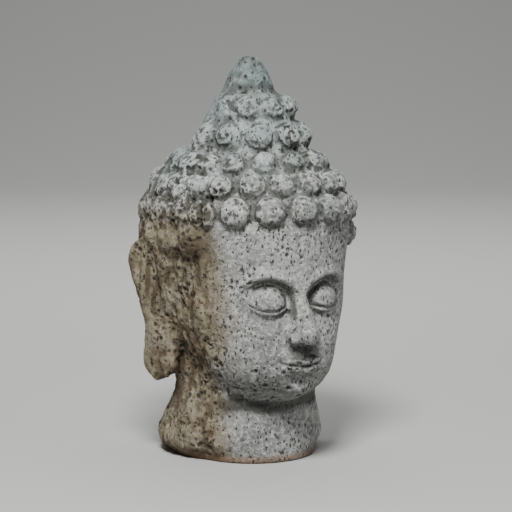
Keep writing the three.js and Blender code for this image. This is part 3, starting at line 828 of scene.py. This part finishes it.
def stone_material():
    material = bpy.data.materials.new("weathered_stone")
    material.use_nodes = True
    nodes = Nodes(material)
    place = nodes.add("TexCoord").outputs["Object"]
    stretched = nodes.add("Mapping", {"Vector": place, "Scale": (1, 1, 0.6)}).outputs[0]

    # Plain stone: pale grey with broad darker clouds and a fine mottled grain.
    clouds = nodes.ramp(nodes.noise(place, 0.05, 6, 0.6), 0.36, 0.64)
    colour = nodes.mix(clouds, PLAIN_CLOUD, PLAIN)
    grain = nodes.noise(place, 0.0042, 4, 0.75)
    paler = nodes.ramp(grain, 0.48, 0.64, 0.0, 0.6)
    darker = nodes.ramp(grain, 0.47, 0.36, 0.0, 0.5)
    colour = nodes.mix(paler, colour, GRAIN_PALE)
    colour = nodes.mix(darker, colour, GRAIN_DARK)

    # Cool crown with a stained knob, ochre side, brown foot.
    drift = nodes.ramp(nodes.noise(place, 0.03), 0.35, 0.62, 0.45, 1.0)
    cool = nodes.math("MULTIPLY", nodes.attribute("cool"), drift)
    colour = nodes.mix(cool, colour, CROWN_GREEN)
    blotches = nodes.ramp(nodes.noise(place, 0.009, 4), 0.38, 0.60, 0.35, 0.9)
    stain = nodes.math("MULTIPLY", blotches, nodes.attribute("stain"))
    colour = nodes.mix(stain, colour, KNOB_STAIN)
    patchy = nodes.ramp(nodes.noise(place, 0.03), 0.3, 0.55, 0.82, 1.0)
    ochre = nodes.math("MULTIPLY", nodes.attribute("ochre"), patchy)
    bands = nodes.ramp(nodes.noise(stretched, 0.016, 5), 0.35, 0.65)
    earth = nodes.mix(bands, EARTH_CLOUD, EARTH)
    earth = nodes.mix(nodes.math("MULTIPLY", paler, 0.6), earth, EARTH_GRAIN_PALE)
    earth = nodes.mix(nodes.math("MULTIPLY", darker, 0.7), earth, EARTH_GRAIN_DARK)
    reddish = nodes.ramp(nodes.noise(place, 0.045), 0.53, 0.64, 0.0, 0.35)
    earth = nodes.mix(reddish, earth, EARTH_RED)
    colour = nodes.mix(ochre, colour, earth)
    foot = nodes.math("MULTIPLY", nodes.attribute("foot"), 0.75)
    colour = nodes.mix(foot, colour, FOOT_BROWN)

    # Painted shade on what faces down and where the stone is sheltered, painted shadow in a band under
    # the jaw, a darker patch at the temple, dirt and painted shade in hollows and creases, and dirt in
    # the low grain.
    shade_and_dirt = nodes.mix(nodes.attribute("ochre"), SHADE_AND_DIRT, EARTH_SHADE_AND_DIRT)
    # Painted shade on what faces down.
    share = nodes.math("MULTIPLY", nodes.attribute("painted_underside_shade"), 0.55)
    for name, start, full, strength in SHADE_AND_DIRT_COATS:
        coat = nodes.ramp(nodes.attribute(name), start, full, 0.0, strength)
        share = nodes.math("MAXIMUM", share, coat)
    colour = nodes.mix(share, colour, shade_and_dirt)
    colour = nodes.mix(nodes.ramp(nodes.attribute("low"), 0.15, 0.9, 0.0, 0.6), colour, shade_and_dirt)

    # Dark specks of three sizes, of ragged shape and crowded in places.
    crowd = nodes.ramp(nodes.noise(place, 0.026, 3), 0.38, 0.6)
    wander = nodes.add("TexNoise", {"Vector": place, "Scale": 450, "Detail": 3}).outputs["Color"]
    shifted = nodes.add("VectorMath", {0: wander, "Scale": 0.0032}, operation="SCALE").outputs[0]
    ragged = nodes.add("VectorMath", {0: stretched, 1: shifted}).outputs[0]
    specks = nodes.math("MULTIPLY", nodes.attribute("pit"), 0.85)
    for size, radius, least, most in SPECKS:
        cell = nodes.cells(ragged, size)
        pick = nodes.add("SeparateColor", {0: cell.outputs["Color"]}).outputs[0]
        present = nodes.math("LESS_THAN", pick, nodes.ramp(crowd, 0, 1, least, most))
        spot = nodes.ramp(cell.outputs["Distance"], radius, radius * 0.6)
        specks = nodes.math("MAXIMUM", specks, nodes.math("MULTIPLY", spot, present))
    colour = nodes.mix(nodes.math("MULTIPLY", specks, 0.9), colour, SPECK)

    height = nodes.math("SUBTRACT", nodes.math("MULTIPLY", grain, 2.0), specks)
    bump = nodes.add("Bump", {"Strength": 0.9, "Distance": 0.001, "Height": height})
    shader = nodes.add(
        "BsdfPrincipled",
        {
            "Base Color": colour,
            "Roughness": 0.9,
            "Specular IOR Level": 0.25,
            "Normal": bump.outputs["Normal"],
        },
    )
    nodes.add("OutputMaterial", {"Surface": shader.outputs[0]})
    return material


# ---- Floor, light and camera ---------------------------------------------------------------------


def plain_material(name, colour):
    material = bpy.data.materials.new(name)
    material.use_nodes = True
    shader = material.node_tree.nodes["Principled BSDF"]
    shader.inputs["Base Color"].default_value = colour
    shader.inputs["Roughness"].default_value = 0.8
    return material


def make_floor():
    """A pale sheet, in metres, that lies flat under the head and sweeps up behind it."""
    width, front, flat, bend, rise = 14.0, -12.0, 3.0, 3.0, 9.0
    sweep = [(flat + bend * np.sin(t), bend * (1 - np.cos(t))) for t in np.linspace(0, np.pi / 2, 25)]
    outline = [(front, 0), *sweep, (flat + bend, rise)]
    vertices = [(x, y, z) for y, z in outline for x in (-width, width)]
    faces = [(2 * i, 2 * i + 1, 2 * i + 3, 2 * i + 2) for i in range(len(outline) - 1)]
    mesh = bpy.data.meshes.new("floor")
    mesh.from_pydata(vertices, [], faces)
    mesh.polygons.foreach_set("use_smooth", np.ones(len(faces), bool))
    mesh.materials.append(plain_material("pale_floor", FLOOR_GREY))
    floor = bpy.data.objects.new("floor", mesh)
    floor.location.z = low.z
    floor.rotation_euler.z = np.radians(VIEW_AZIMUTH)
    bpy.context.scene.collection.objects.link(floor)


def around(azimuth, elevation, distance, target):
    """A place round the target: azimuth 0 is straight in front of the face."""
    az, el = np.radians(azimuth), np.radians(elevation)
    way = Vector((np.sin(az) * np.cos(el), -np.cos(az) * np.cos(el), np.sin(el)))
    return target + way * distance


def look_at(thing, target):
    thing.rotation_euler = (target - thing.location).to_track_quat("-Z", "Y").to_euler()
    bpy.context.scene.collection.objects.link(thing)


def make_lights(target):
    behind = around(VIEW_AZIMUTH + 180, -3, 4.0, target)
    # Azimuth, elevation, distance in metres, the lamp's size, its power and what it points at.
    for name, azimuth, elevation, distance, size, power, aim in (
        ("key", -36, 50, 1.5, 0.4, 38, target),
        ("fill", 45, 20, 2.0, 1.2, 6, target),
        ("backdrop", VIEW_AZIMUTH + 180, 62, 2.4, 2.0, 90, behind),
    ):
        lamp = bpy.data.lights.new(name, "AREA")
        lamp.size = size
        lamp.energy = power
        light = bpy.data.objects.new(name, lamp)
        light.location = around(azimuth, elevation, distance, target)
        look_at(light, aim)
    world = bpy.data.worlds.new("studio")
    world.use_nodes = True
    background = world.node_tree.nodes["Background"]
    background.inputs["Color"].default_value = (0.80, 0.82, 0.85, 1)
    background.inputs["Strength"].default_value = 0.08
    bpy.context.scene.world = world


def make_camera():
    middle = VIEW_CENTRE * UNIT
    camera = bpy.data.cameras.new("camera")
    camera.lens = LENS
    view = bpy.data.objects.new("camera", camera)
    view.location = around(VIEW_AZIMUTH, VIEW_ELEVATION, VIEW_DISTANCE * UNIT, middle)
    look_at(view, middle)
    bpy.context.scene.camera = view


make_camera()
stone = make_stone()
stone.data.materials.append(stone_material())
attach(stone, "root")
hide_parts(NODE)
make_floor()
make_lights(Vector((0, 0, HEIGHT * UNIT / 2)))
